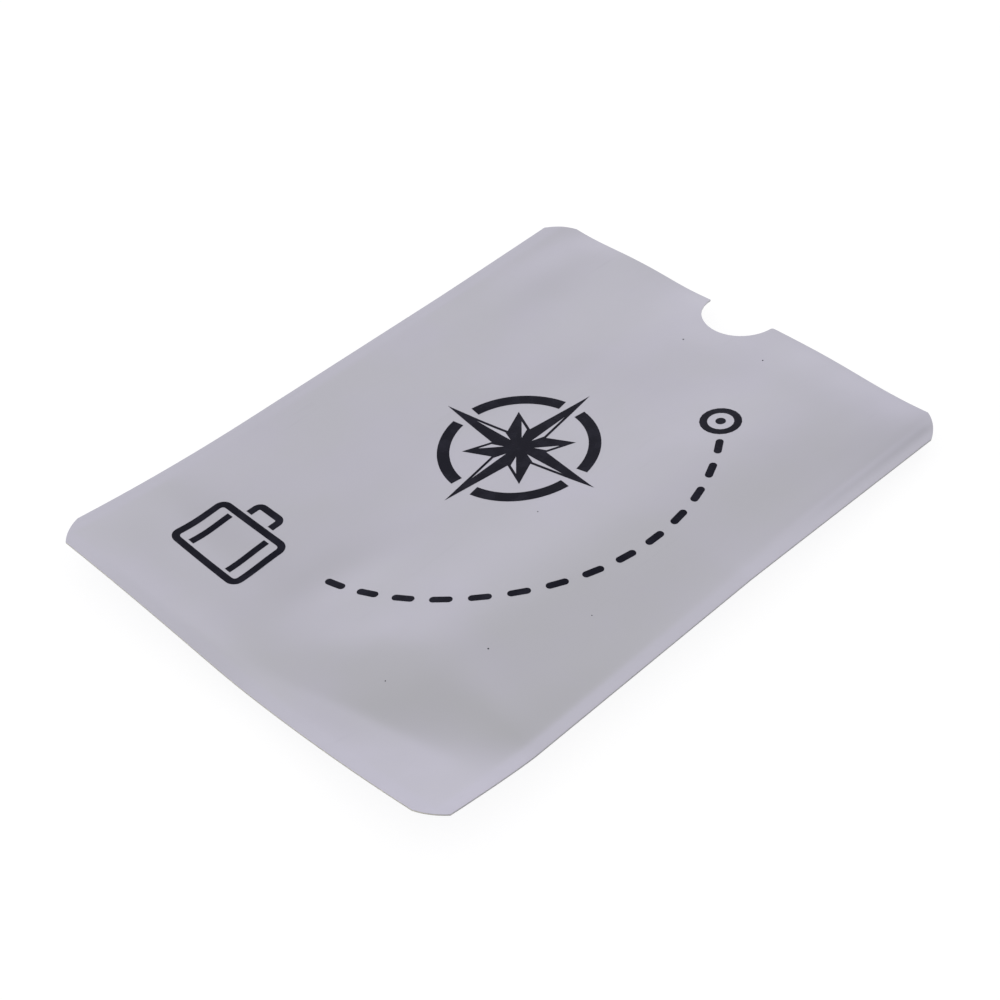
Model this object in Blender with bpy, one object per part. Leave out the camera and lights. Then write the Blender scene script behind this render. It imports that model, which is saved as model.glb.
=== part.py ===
# Travel document sleeve: a pouch of two metallised laminate panels, heat sealed on three sides.
# It lies face up. X runs across the sleeve, Y from the sealed end to the mouth, and Z up.
# The origin is under the middle of the sleeve, on the surface that it rests on.

import math

import bmesh
import bpy
from mathutils import Vector
from mathutils.geometry import delaunay_2d_cdt

MM = 0.001

# Outline, as the sleeve is die cut flat
SLEEVE_WIDTH = 102.0 * MM
SLEEVE_LENGTH = 133.0 * MM
CORNER_CUT = 5.3 * MM            # along each edge, from the square corner to the start of its arc
CORNER_RADIUS = 8.0 * MM         # over the cut, so each arc meets its edges at a slight angle
NOTCH_RADIUS = 7.8 * MM
NOTCH_OUTSET = 0.2 * MM          # the notch's centre lies this far outside the mouth edge
SEAL_WIDTH = 2.8 * MM

# Thickness of the laminate
FILM_THICKNESS = 0.025 * MM
FOIL_THICKNESS = 0.020 * MM
LINER_THICKNESS = 0.070 * MM
BOND_LINE = 0.010 * MM           # adhesive between two plies, and the clearance at the seal
SEAL_THICKNESS = 0.050 * MM

# How the empty sleeve lies: heights of the seam over the resting surface
SEAM_HEIGHT = 3.9 * MM
CLOSED_LEFT_LIFT = 2.8 * MM
CLOSED_RIGHT_LIFT = 5.0 * MM
MOUTH_LEFT_LIFT = 0.45 * MM
MOUTH_RIGHT_DROP = 0.5 * MM
RIGHT_BOW = 1.8 * MM             # the right edge stays raised over its middle
LEFT_CURL_REACH = 46.0 * MM
RIGHT_CURL_REACH = 22.0 * MM
END_CURL_REACH = 51.0 * MM
MOUTH_LEFT_REACH = 36.0 * MM
MOUTH_RIGHT_REACH = 58.0 * MM    # over this length the right edge comes down to the mouth

# How far the panels stand apart
CROWN_HEIGHT = 5.7 * MM          # underside of the front panel over the resting surface
SIDE_REACH = 20.0 * MM           # from the seal to where a panel levels out
END_REACH = 25.0 * MM
MOUTH_REACH = 30.0 * MM          # over this length the panels run out into the mouth's own wave
MOUTH_LEVEL = 3.6 * MM
LEFT_WAVE_HEIGHT = 0.65 * MM
LEFT_WAVE_PLACE = -30.0 * MM
LEFT_WAVE_REACH = 20.0 * MM
RIGHT_WAVE_HEIGHT = 1.0 * MM
RIGHT_WAVE_PLACE = 15.0 * MM
RIGHT_WAVE_REACH = 30.0 * MM
LIP_WAVE_HEIGHT = 0.6 * MM       # both lips of the notch curl up
LIP_WAVE_REACH = 18.0 * MM
MOUTH_CLEARANCE = 0.25 * MM      # left of the notch the back panel comes up this close to the front
BACK_LIFT_FULL = -9.0 * MM       # across the mouth, where the back panel's lift is whole
BACK_LIFT_END = 5.0 * MM         # and where it has run out

# Fineness of the facets
CORNER_STEPS = 5
NOTCH_STEPS = 16
SIDE_STEPS = 4
END_STEPS = 5
MOUTH_STEPS = 4
FLAT_SPACING = 10.0 * MM
OUTLINE_CLEARANCE = 1.0 * MM     # no inner point lies closer to a corner arc or the notch
POINT_MERGE = 0.00001 * MM

PANEL_THICKNESS = FILM_THICKNESS + FOIL_THICKNESS + LINER_THICKNESS + 2 * BOND_LINE
HALF_SEAL = SEAL_THICKNESS / 2 + BOND_LINE
HALF_WIDTH = SLEEVE_WIDTH / 2
HALF_LENGTH = SLEEVE_LENGTH / 2


def clamp(value):
    return min(1.0, max(0.0, value))


def curl(distance, reach, power):
    """Share of a lift that is left at a distance from the lifted corner."""
    return clamp(1 - distance / reach) ** power


def swell(distance, reach):
    """Rises at once from a seal and levels out at the reach."""
    return math.sin(math.pi / 2 * clamp(distance / reach))


def ease(share):
    share = clamp(share)
    return share * share * (3 - 2 * share)


def wave(x, place, reach):
    return math.cos(math.pi / 2 * clamp(abs(x - place) / reach)) ** 2


def left_edge_height(y):
    from_end = y + HALF_LENGTH
    from_mouth = HALF_LENGTH - y
    return (
        CLOSED_LEFT_LIFT * curl(from_end, LEFT_CURL_REACH, 2)
        + MOUTH_LEFT_LIFT * curl(from_mouth, MOUTH_LEFT_REACH, 1.2)
    )


def right_edge_height(y):
    from_end = y + HALF_LENGTH
    from_mouth = HALF_LENGTH - y
    drop = RIGHT_BOW + MOUTH_RIGHT_DROP
    return (
        RIGHT_BOW
        + (CLOSED_RIGHT_LIFT - RIGHT_BOW) * curl(from_end, RIGHT_CURL_REACH, 1.3)
        - drop * curl(from_mouth, MOUTH_RIGHT_REACH, 1.05)
    )


def closed_edge_height(x):
    from_left = x + HALF_WIDTH
    from_right = HALF_WIDTH - x
    return (
        CLOSED_LEFT_LIFT * swell(END_CURL_REACH - from_left, END_CURL_REACH)
        + CLOSED_RIGHT_LIFT * curl(from_right, END_CURL_REACH, 2)
    )


def mouth_edge_height(x):
    across = (x + HALF_WIDTH) / SLEEVE_WIDTH
    return MOUTH_LEFT_LIFT * (1 - across) - MOUTH_RIGHT_DROP * across


def seam_height(x, y):
    """Height of the middle of the seal, carried across the sleeve from its four edges."""
    across = (x + HALF_WIDTH) / SLEEVE_WIDTH
    along = (y + HALF_LENGTH) / SLEEVE_LENGTH
    sides = (1 - across) * left_edge_height(y) + across * right_edge_height(y)
    ends = (1 - along) * closed_edge_height(x) + along * mouth_edge_height(x)
    corners = (
        (1 - across) * (1 - along) * CLOSED_LEFT_LIFT
        + across * (1 - along) * CLOSED_RIGHT_LIFT
        + (1 - across) * along * MOUTH_LEFT_LIFT
        - across * along * MOUTH_RIGHT_DROP
    )
    return SEAM_HEIGHT + sides + ends - corners


def fullness(x, y):
    """0 on the seal, 1 where the panels have levelled out."""
    from_left = x + HALF_WIDTH - SEAL_WIDTH
    from_right = HALF_WIDTH - SEAL_WIDTH - x
    from_end = y + HALF_LENGTH - SEAL_WIDTH
    return swell(from_left, SIDE_REACH) * swell(from_right, SIDE_REACH) * swell(from_end, END_REACH)


def mouth_share(y):
    """0 up to the mouth's reach, 1 on the mouth edge."""
    return ease((y - HALF_LENGTH + MOUTH_REACH) / MOUTH_REACH)


def mouth_height(x):
    """Underside of the front panel along the mouth edge."""
    return (
        MOUTH_LEVEL
        + LEFT_WAVE_HEIGHT * wave(x, LEFT_WAVE_PLACE, LEFT_WAVE_REACH)
        + RIGHT_WAVE_HEIGHT * wave(x, RIGHT_WAVE_PLACE, RIGHT_WAVE_REACH)
        + LIP_WAVE_HEIGHT * wave(x, 0.0, LIP_WAVE_REACH)
    )


def crown_height(x, y):
    """Underside of the front panel where it stands clear of the back one."""
    share = mouth_share(y)
    return CROWN_HEIGHT * (1 - share) + mouth_height(x) * share


def base_height(x, y):
    """Underside of the back panel where it stands clear: flat, but for its lift at the mouth."""
    across = ease((BACK_LIFT_END - x) / (BACK_LIFT_END - BACK_LIFT_FULL))
    lift = mouth_height(x) - PANEL_THICKNESS - MOUTH_CLEARANCE
    return across * mouth_share(y) * lift


def front_height(x, y):
    """Underside of the front panel."""
    full = fullness(x, y)
    return (1 - full) * (seam_height(x, y) + HALF_SEAL) + full * crown_height(x, y)


def back_height(x, y):
    """Underside of the back panel."""
    full = fullness(x, y)
    seam = seam_height(x, y) - HALF_SEAL - PANEL_THICKNESS
    return (1 - full) * seam + full * base_height(x, y)


def seal_height(x, y):
    return seam_height(x, y) - SEAL_THICKNESS / 2


def stations(low, high, low_lengths, high_lengths, spacing):
    """Places along a side: given lengths in from each end, and even steps between them."""
    start = [low]
    for length in low_lengths:
        start.append(start[-1] + length)
    end = [high]
    for length in high_lengths:
        end.append(end[-1] - length)
    count = max(1, round((end[-1] - start[-1]) / spacing))
    step = (end[-1] - start[-1]) / count
    middle = [start[-1] + step * index for index in range(1, count)]
    return start + middle + end[::-1]


def corner_arc(sign_x, sign_y):
    """Points of one rounded corner, from its end on the Y edge to its end on the X edge."""
    half_chord = CORNER_CUT / math.sqrt(2)
    depth = math.sqrt(max(0.0, CORNER_RADIUS**2 - half_chord**2)) / math.sqrt(2)
    inset = CORNER_CUT / 2 + depth
    centre = Vector((sign_x * (HALF_WIDTH - inset), sign_y * (HALF_LENGTH - inset)))
    start = Vector((sign_x * HALF_WIDTH, sign_y * (HALF_LENGTH - CORNER_CUT))) - centre
    end = Vector((sign_x * (HALF_WIDTH - CORNER_CUT), sign_y * HALF_LENGTH)) - centre
    first = math.atan2(start.y, start.x)
    turn = math.atan2(start.x * end.y - start.y * end.x, start.dot(end))
    radius = start.length
    points = []
    for index in range(CORNER_STEPS + 1):
        angle = first + turn * index / CORNER_STEPS
        points.append(centre + radius * Vector((math.cos(angle), math.sin(angle))))
    return points


def notch_arc():
    """Points of the thumb notch, from its right end on the mouth edge to its left end."""
    lip = math.asin(NOTCH_OUTSET / NOTCH_RADIUS)
    turn = math.pi - 2 * lip
    points = []
    for index in range(NOTCH_STEPS + 1):
        angle = -lip - turn * index / NOTCH_STEPS
        x = NOTCH_RADIUS * math.cos(angle)
        y = HALF_LENGTH + NOTCH_OUTSET + NOTCH_RADIUS * math.sin(angle)
        points.append(Vector((x, y)))
    return points


def edge_points(places, low, high):
    return [place for place in places if low + OUTLINE_CLEARANCE < place < high - OUTLINE_CLEARANCE]


def outline(across, along):
    """The die-cut outline, anticlockwise from the sealed end's left corner."""
    straight_x = HALF_WIDTH - CORNER_CUT
    straight_y = HALF_LENGTH - CORNER_CUT
    notch = notch_arc()
    lip = notch[0].x
    points = corner_arc(-1, -1)
    points += [Vector((x, -HALF_LENGTH)) for x in edge_points(across, -straight_x, straight_x)]
    points += corner_arc(1, -1)[::-1]
    points += [Vector((HALF_WIDTH, y)) for y in edge_points(along, -straight_y, straight_y)]
    points += corner_arc(1, 1)
    points += [Vector((x, HALF_LENGTH)) for x in edge_points(across, lip, straight_x)[::-1]]
    points += notch
    points += [Vector((x, HALF_LENGTH)) for x in edge_points(across, -straight_x, -lip)[::-1]]
    points += corner_arc(-1, 1)[::-1]
    points += [Vector((-HALF_WIDTH, y)) for y in edge_points(along, -straight_y, straight_y)[::-1]]
    return points


def distance_to_outline(point, ring):
    nearest = math.inf
    for start, end in zip(ring, ring[1:] + ring[:1]):
        side = end - start
        share = clamp((point - start).dot(side) / side.length_squared)
        nearest = min(nearest, (point - start - side * share).length)
    return nearest


def inside(point, ring):
    crossings = 0
    for start, end in zip(ring, ring[1:] + ring[:1]):
        if (start.y > point.y) == (end.y > point.y):
            continue
        x = start.x + (point.y - start.y) / (end.y - start.y) * (end.x - start.x)
        if x > point.x:
            crossings += 1
    return crossings % 2 == 1


def flat_pattern():
    """Points and triangles of one panel laid flat, with the crease along the seal."""
    side_in = [SEAL_WIDTH] + [SIDE_REACH / SIDE_STEPS] * SIDE_STEPS
    end_in = [SEAL_WIDTH] + [END_REACH / END_STEPS] * END_STEPS
    mouth_in = [MOUTH_REACH / MOUTH_STEPS] * MOUTH_STEPS
    across = stations(-HALF_WIDTH, HALF_WIDTH, side_in, side_in, FLAT_SPACING)
    along = stations(-HALF_LENGTH, HALF_LENGTH, end_in, mouth_in, FLAT_SPACING)
    ring = outline(across, along)
    points = list(ring)
    edges = [(index, (index + 1) % len(ring)) for index in range(len(ring))]
    grid = {}
    for column, x in enumerate(across[1:-1]):
        for row, y in enumerate(along[1:-1]):
            point = Vector((x, y))
            if inside(point, ring) and distance_to_outline(point, ring) > OUTLINE_CLEARANCE:
                grid[column, row] = len(points)
                points.append(point)
    last_column = len(across) - 3
    for column in (0, last_column):
        crease = [grid[column, row] for row in range(len(along) - 2) if (column, row) in grid]
        mouth_end = len(points)
        points.append(Vector((across[1:-1][column], HALF_LENGTH + SEAL_WIDTH)))
        edges += zip(crease, crease[1:] + [mouth_end])
    crease = [grid[column, 0] for column in range(last_column + 1) if (column, 0) in grid]
    edges += zip(crease, crease[1:])
    result = delaunay_2d_cdt(points, edges, [list(range(len(ring)))], 1, POINT_MERGE)
    return result[0], result[2]


def on_seal(points):
    middle = sum(points, Vector((0, 0))) / len(points)
    beside = abs(middle.x) > HALF_WIDTH - SEAL_WIDTH
    return beside or middle.y < -HALF_LENGTH + SEAL_WIDTH


def make_material(name, colour, metallic, roughness):
    material = bpy.data.materials.new(name)
    material.use_nodes = True
    shader = material.node_tree.nodes["Principled BSDF"]
    shader.inputs["Base Color"].default_value = (*colour, 1)
    shader.inputs["Metallic"].default_value = metallic
    shader.inputs["Roughness"].default_value = roughness
    material.diffuse_color = (*colour, 1)
    return material


def make_ply(name, triangles, points, height, lift, thickness, material):
    """One closed sheet: its underside follows height(x, y) + lift, its top lies a thickness above."""
    mesh = bpy.data.meshes.new(name)
    shape = bmesh.new()
    corners = {}
    for triangle in triangles:
        for index in triangle:
            if index not in corners:
                x, y = points[index]
                corners[index] = shape.verts.new((x, y, height(x, y) + lift))
        shape.faces.new([corners[index] for index in triangle])
    raised = bmesh.ops.extrude_face_region(shape, geom=shape.faces[:])["geom"]
    top = [item for item in raised if isinstance(item, bmesh.types.BMVert)]
    bmesh.ops.translate(shape, verts=top, vec=(0, 0, thickness))
    bmesh.ops.recalc_face_normals(shape, faces=shape.faces[:])
    shape.to_mesh(mesh)
    shape.free()
    mesh.materials.append(material)
    mesh.shade_smooth()
    mesh.set_sharp_from_angle(angle=math.radians(40))
    ply = bpy.data.objects.new(name, mesh)
    ply.parent = sleeve
    pieces.objects.link(ply)
    return ply


for leftover in list(bpy.data.objects):
    bpy.data.objects.remove(leftover, do_unlink=True)

pieces = bpy.data.collections.new("travel_document_sleeve")
bpy.context.scene.collection.children.link(pieces)
sleeve = bpy.data.objects.new("sleeve", None)
pieces.objects.link(sleeve)

film = make_material("satin_cover_film", (0.47, 0.46, 0.53), 0.35, 0.32)
foil = make_material("aluminium_foil", (0.80, 0.81, 0.83), 1.0, 0.25)
liner = make_material("sealing_liner", (0.62, 0.62, 0.65), 0.2, 0.45)
bead = make_material("fused_seal", (0.55, 0.53, 0.52), 0.1, 0.5)

flat_points, flat_triangles = flat_pattern()
seal_triangles = [item for item in flat_triangles if on_seal([flat_points[index] for index in item])]

foil_over_liner = LINER_THICKNESS + BOND_LINE
film_over_liner = foil_over_liner + FOIL_THICKNESS + BOND_LINE
foil_over_film = FILM_THICKNESS + BOND_LINE
liner_over_film = foil_over_film + FOIL_THICKNESS + BOND_LINE

plies = (
    ("front_cover_film", front_height, film_over_liner, FILM_THICKNESS, film),
    ("front_foil_shield", front_height, foil_over_liner, FOIL_THICKNESS, foil),
    ("front_sealing_liner", front_height, 0.0, LINER_THICKNESS, liner),
    ("back_sealing_liner", back_height, liner_over_film, LINER_THICKNESS, liner),
    ("back_foil_shield", back_height, foil_over_film, FOIL_THICKNESS, foil),
    ("back_cover_film", back_height, 0.0, FILM_THICKNESS, film),
)
for name, height, lift, thickness, material in plies:
    make_ply(name, flat_triangles, flat_points, height, lift, thickness, material)
make_ply("heat_seal_band", seal_triangles, flat_points, seal_height, 0.0, SEAL_THICKNESS, bead)
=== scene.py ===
import math

import bmesh
import bpy
from mathutils import Matrix, Vector, noise


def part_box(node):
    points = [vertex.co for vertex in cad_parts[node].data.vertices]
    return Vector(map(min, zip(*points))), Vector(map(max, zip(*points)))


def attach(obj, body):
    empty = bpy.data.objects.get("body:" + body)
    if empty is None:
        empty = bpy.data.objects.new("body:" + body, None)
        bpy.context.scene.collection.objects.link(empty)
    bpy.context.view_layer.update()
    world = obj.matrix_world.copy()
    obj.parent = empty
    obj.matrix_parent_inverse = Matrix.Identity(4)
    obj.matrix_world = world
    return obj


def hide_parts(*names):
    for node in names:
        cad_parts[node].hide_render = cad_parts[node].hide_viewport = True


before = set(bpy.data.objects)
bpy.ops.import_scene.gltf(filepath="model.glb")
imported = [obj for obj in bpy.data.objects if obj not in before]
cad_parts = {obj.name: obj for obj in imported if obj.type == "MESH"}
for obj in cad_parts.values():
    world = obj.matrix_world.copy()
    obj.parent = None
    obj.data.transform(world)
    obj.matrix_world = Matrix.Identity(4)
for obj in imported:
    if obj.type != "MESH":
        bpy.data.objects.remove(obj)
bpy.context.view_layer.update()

# A travel document sleeve of metallised film, lying empty and face up on a white table.
# Lengths are in millimetres until a piece's mesh is finished, and mm turns them into metres.
# x runs across the sleeve, y from the closed end to the mouth, and z up from the table.
mm = 0.001
lowCorner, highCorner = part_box("front_cover_film")
halfWidth = (highCorner.x - lowCorner.x) / mm / 2
halfLength = (highCorner.y - lowCorner.y) / mm / 2
print("frame loaded, sleeve", round(2 * halfWidth, 1), "by", round(2 * halfLength, 1), "mm")

blankCut = {
    "mouthCorners": ((5.5, 4.3), (4.9, 5.7)),   # left and right: along the end, along the side
    "closedCorners": ((4.2, 5.6), (5.4, 3.2)),
    "cornerRadius": 12.0,
    "cornerSteps": 12,
    "notchPlace": 0.2,              # to the right of the middle
    "notchRadius": 8.0,
    "notchOutset": 0.02,            # the notch's centre lies this far outside the mouth edge
    "notchSteps": 24,
    "lipRounding": (0.15, 0.6),     # left and right
    "lipSteps": 5,
    "sealWidth": 2.8,
    "sealCuts": (0.5, 1.1, 1.7, 2.2, 2.5, 2.8, 3.1, 3.4, 3.8, 4.4, 5.2),
    "mouthCuts": (0.5,),
    "cell": 1.0,
    "weld": 0.02,
    "edgeTolerance": 0.001,
    "cutTolerance": 0.00001,
}

laminate = {
    "film": 0.025,
    "foil": 0.020,
    "liner": 0.070,
    "bond": 0.010,
    "seal": 0.050,
}

lie = {
    # the seam's height at the middle of the left side, and how its four edges leave it
    "seamHeight": 3.9,
    "closedLeftLift": 2.8,
    "closedRightLift": 5.0,
    "mouthLeftLift": 0.65,
    "mouthRightDrop": 0.65,
    "rightBow": 1.8,
    "leftCurl": (46.0, 2.0),        # reach from the corner, and how sharply it curls
    "rightCurl": (22.0, 1.3),
    "mouthLeftCurl": (36.0, 1.2),
    "mouthRightCurl": (58.0, 1.05),
    "endCurlReach": 51.0,
    "endSoftness": 5.0,             # the closed end's two curls meet over this length
    "rightTwist": 0.16,             # slope of the right margin near the mouth
    "twistReach": 5.5,
    "twistFrom": 12.0,
    "twistFull": 58.0,
    # how the panels leave the seal
    "foldSoftness": 0.6,            # the film bends off the seal over about this length
    "fill": 1.9,
    "sideReach": 20.0,
    "endReach": 25.0,
    "reliefReach": 7.0,
    "flapDepth": 10.0,              # at the closed end's right they lie together this much longer
    "flapReach": 15.0,
    "flapFrom": -22.0,
    "flapTo": 46.0,
    # the front film lies low on the left, climbs to a crest and sinks again
    "crownLeft": 3.7,
    "crownRight": 6.5,
    "crownDrop": 0.4,
    "footPlace": -20.0,             # where the climb starts, about half way along
    "footMiddle": 3.0,
    "footBend": 14.0,               # towards both ends it starts further to the right
    "footReach": 35.0,
    "crestPlace": 29.0,
    "crestLean": 0.05,
    "crestBend": 5.0,               # the crest turns off to the right near the mouth
    "crestFrom": 15.0,
    "crestTo": 60.0,
    "fallStart": -8.0,              # measured from the crest
    "fallEnd": 47.0,
    "cornerRise": 2.2,              # it stays high near the closed end's lifted left corner
    "cornerReach": (22.0, 28.0),
    # the mouth's two lips
    "lipReach": 44.0,
    "lipPower": 2.0,
    "mouthLevel": 3.48,
    "leftWave": (0.78, -28.0, 18.0),    # height, place across and reach
    "rightWave": (1.2, 16.5, 25.0),
    "lipWave": (0.6, 0.0, 18.0),
    "mouthReach": 30.0,             # over this length the back film rises to the front one
    "mouthHold": 9.0,               # and over the last of it lies close under it
    "mouthClearance": 0.04,
    "backLiftFull": -3.0,
    "backLiftEnd": 9.0,
}

panelThickness = laminate["film"] + laminate["foil"] + laminate["liner"] + 2 * laminate["bond"]
halfSeal = laminate["seal"] / 2 + laminate["bond"]


def clamp(value):
    return min(1.0, max(0.0, value))


def ease(share):
    share = clamp(share)
    return share * share * (3 - 2 * share)


def rise(value, start, full):  # eases from 0 at the start to 1 at the full place
    return ease((value - start) / (full - start))


def bell(*steps):  # 1 in the middle, and falls off as the steps away from it grow past 1
    return math.exp(-sum(step ** 2 for step in steps))


def curl(distance, reach, power):
    return clamp(1 - distance / reach) ** power


def wave(x, height, place, reach):
    return height * math.cos(math.pi / 2 * clamp(abs(x - place) / reach)) ** 2


def soften(distance, width):  # a distance that never goes below nought, turning over this width
    return (distance + math.hypot(distance, width)) / 2


def swell(distance, reach):
    return math.tanh(lie["fill"] * soften(distance, lie["foldSoftness"]) / reach)


def leftEdge(y):
    closedCurl = lie["closedLeftLift"] * curl(y + halfLength, *lie["leftCurl"])
    return closedCurl + lie["mouthLeftLift"] * curl(halfLength - y, *lie["mouthLeftCurl"])


def rightEdge(y):
    closedRise = lie["closedRightLift"] - lie["rightBow"]
    mouthDrop = lie["rightBow"] + lie["mouthRightDrop"]
    lifted = lie["rightBow"] + closedRise * curl(y + halfLength, *lie["rightCurl"])
    return lifted - mouthDrop * curl(halfLength - y, *lie["mouthRightCurl"])


def closedEdge(x):
    middle = halfWidth - lie["endCurlReach"]
    left = clamp(soften(-middle - x, lie["endSoftness"]) / lie["endCurlReach"])
    right = clamp(soften(x - middle, lie["endSoftness"]) / lie["endCurlReach"])
    leftRise = lie["closedLeftLift"] * math.sin(math.pi / 2 * left)
    return leftRise + lie["closedRightLift"] * right ** 2


def mouthEdge(x):
    across = (x + halfWidth) / (2 * halfWidth)
    return lie["mouthLeftLift"] * (1 - across) - lie["mouthRightDrop"] * across


def rightTwist(x, y):
    inside = halfWidth - x
    slope = lie["rightTwist"] * rise(y, lie["twistFrom"], lie["twistFull"])
    return slope * inside * bell(inside / lie["twistReach"])


def seamHeight(x, y):  # middle of the heat seal, carried across from the four edges
    across = (x + halfWidth) / (2 * halfWidth)
    along = (y + halfLength) / (2 * halfLength)
    sides = (1 - across) * leftEdge(y) + across * rightEdge(y)
    ends = (1 - along) * closedEdge(x) + along * mouthEdge(x)
    left = (1 - along) * lie["closedLeftLift"] + along * lie["mouthLeftLift"]
    right = (1 - along) * lie["closedRightLift"] - along * lie["mouthRightDrop"]
    corners = (1 - across) * left + across * right
    return lie["seamHeight"] + sides + ends - corners + rightTwist(x, y)


def sealHeight(x, y):
    return seamHeight(x, y) - laminate["seal"] / 2


def fullness(x, y):  # 0 on the seal, 1 where the panels have levelled out
    seal = blankCut["sealWidth"]
    left = swell(x + halfWidth - seal, lie["sideReach"])
    right = swell(halfWidth - seal - x, lie["sideReach"])
    share = rise(x, lie["flapFrom"], lie["flapTo"])
    reach = lie["endReach"] * (1 - share) + lie["flapReach"] * share
    return left * right * swell(y + halfLength - seal - lie["flapDepth"] * share, reach)


# Soft swells and hollows of the empty front panel:
# place across and along, half length, half width, turn of the length in degrees, height
swells = {
    "endTrough": (-26, -47, 18, 5, -8, -0.5),
    "endRidge": (12, -45.5, 13, 5, 38, 0.25),
    "upperLeft": (-20, 42, 20, 8, 90, 0.2),
    "mouthRight": (36, 46, 15, 7, 90, 0.4),
    "climbFoot": (-5, -36, 13, 5, 80, -0.3),
    "upperMiddle": (-6, 46, 20, 14, 90, 1.1),
    "valleyFill": (45, -33, 18, 8, 90, 0.4),
    "endLow": (-20, -54, 24, 6, -22, -0.3),
    "mouthBulge": (28, 50, 14, 12, 90, 0.6),
    "lipRise": (22, 58, 22, 8, 0, 0.3),
    "endFlap": (18, -58, 10, 4, 5, 0.3),
    "cornerFill": (38, -43, 12, 5, -10, 0.4),
    "notchDip": (1, 60, 8, 6, 0, -0.3),
    "rightPlump": (42, 52, 14, 4, 90, 0.3),
    "leftPlump": (-40, 54, 16, 6, 90, 0.5),
    "midFall": (8, -8, 25, 10, 90, -0.4),
    "seamCrease": (47.3, 48, 24, 1.1, 90, -0.55),
}


def relief(x, y):
    seal = blankCut["sealWidth"]
    total = 0.0
    for across, along, halfLong, halfWide, turn, height in swells.values():
        angle = math.radians(turn)
        lengthwise = (x - across) * math.cos(angle) + (y - along) * math.sin(angle)
        sideways = (y - along) * math.cos(angle) - (x - across) * math.sin(angle)
        total += height * bell(lengthwise / halfLong, sideways / halfWide)
    inward = (x + halfWidth - seal, halfWidth - seal - x, y + halfLength - seal, halfLength - y)
    for distance in inward:
        total *= swell(distance, lie["reliefReach"])
    return total


ripple = {
    "size": 11.0,
    "height": 0.045,
    "fineSize": 4.5,
    "fineHeight": 0.008,
    "finePlace": 50,    # how far off in the noise the fine ripple is read
}


def rippleHeight(x, y):  # the slight unevenness of film that has been handled
    broad = noise.noise(Vector((x, y, 0)) / ripple["size"]) * ripple["height"]
    finePoint = Vector((x, y, ripple["finePlace"])) / ripple["fineSize"]
    fine = noise.noise(finePoint) * ripple["fineHeight"]
    return (broad + fine) * fullness(x, y)


def mouthHeight(x):
    height = lie["mouthLevel"]
    for name in ("leftWave", "rightWave", "lipWave"):
        height += wave(x, *lie[name])
    return height


def frontHeight(x, y):  # underside of the front panel, before the ripple
    full = fullness(x, y)
    turned = 1 - bell((y - lie["footMiddle"]) / lie["footReach"])
    foot = lie["footPlace"] + lie["footBend"] * turned
    crest = lie["crestPlace"] + lie["crestLean"] * y
    crest += lie["crestBend"] * rise(y, lie["crestFrom"], lie["crestTo"])
    climb = rise(x, foot, crest)
    fall = rise(x, crest + lie["fallStart"], lie["fallEnd"])
    level = lie["crownLeft"] * (1 - climb) + lie["crownRight"] * climb - lie["crownDrop"] * fall
    reachX, reachY = lie["cornerReach"]
    level += lie["cornerRise"] * bell((x + halfWidth) / reachX, (y + halfLength) / reachY)
    share = clamp((y - halfLength + lie["lipReach"]) / lie["lipReach"]) ** lie["lipPower"]
    crown = level * (1 - share) + mouthHeight(x) * share
    return (1 - full) * (seamHeight(x, y) + halfSeal) + full * crown + relief(x, y)


def frontTop(x, y):
    return frontHeight(x, y) + rippleHeight(x, y) + panelThickness


def backHeight(x, y):  # underside of the back panel
    full = fullness(x, y)
    flat = (1 - full) * (seamHeight(x, y) - halfSeal - panelThickness)
    across = rise(x, lie["backLiftEnd"], lie["backLiftFull"])
    along = rise(y - halfLength, -lie["mouthReach"], -lie["mouthHold"])
    lifted = frontTop(x, y) - 2 * panelThickness - lie["mouthClearance"]
    return flat + across * along * full * max(0.0, lifted - flat)


def roundCorners(blank):
    radius, steps = blankCut["cornerRadius"], blankCut["cornerSteps"]
    for sideX, sideY in ((1, 1), (-1, 1), (-1, -1), (1, -1)):
        end = blankCut["mouthCorners" if sideY > 0 else "closedCorners"]
        across, along = end[0 if sideX < 0 else 1]
        chordX = sideX * (halfWidth - across / 2)
        chordY = sideY * (halfLength - along / 2)
        diagonal = Vector((sideX * along, sideY * across, 0)).normalized()
        opening = math.asin(math.hypot(across, along) / 2 / radius)
        centre = Vector((chordX, chordY, 0)) - diagonal * radius * math.cos(opening)
        for index in range(steps):
            angle = opening * (2 * (index + 0.5) / steps - 1)
            outward = Matrix.Rotation(angle, 3, "Z") @ diagonal
            middle = centre + outward * radius * math.cos(opening / steps)
            bmesh.ops.bisect_plane(
                blank, geom=blank.verts[:] + blank.edges[:] + blank.faces[:],
                dist=blankCut["cutTolerance"], plane_co=middle, plane_no=outward, clear_outer=True,
            )


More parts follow.
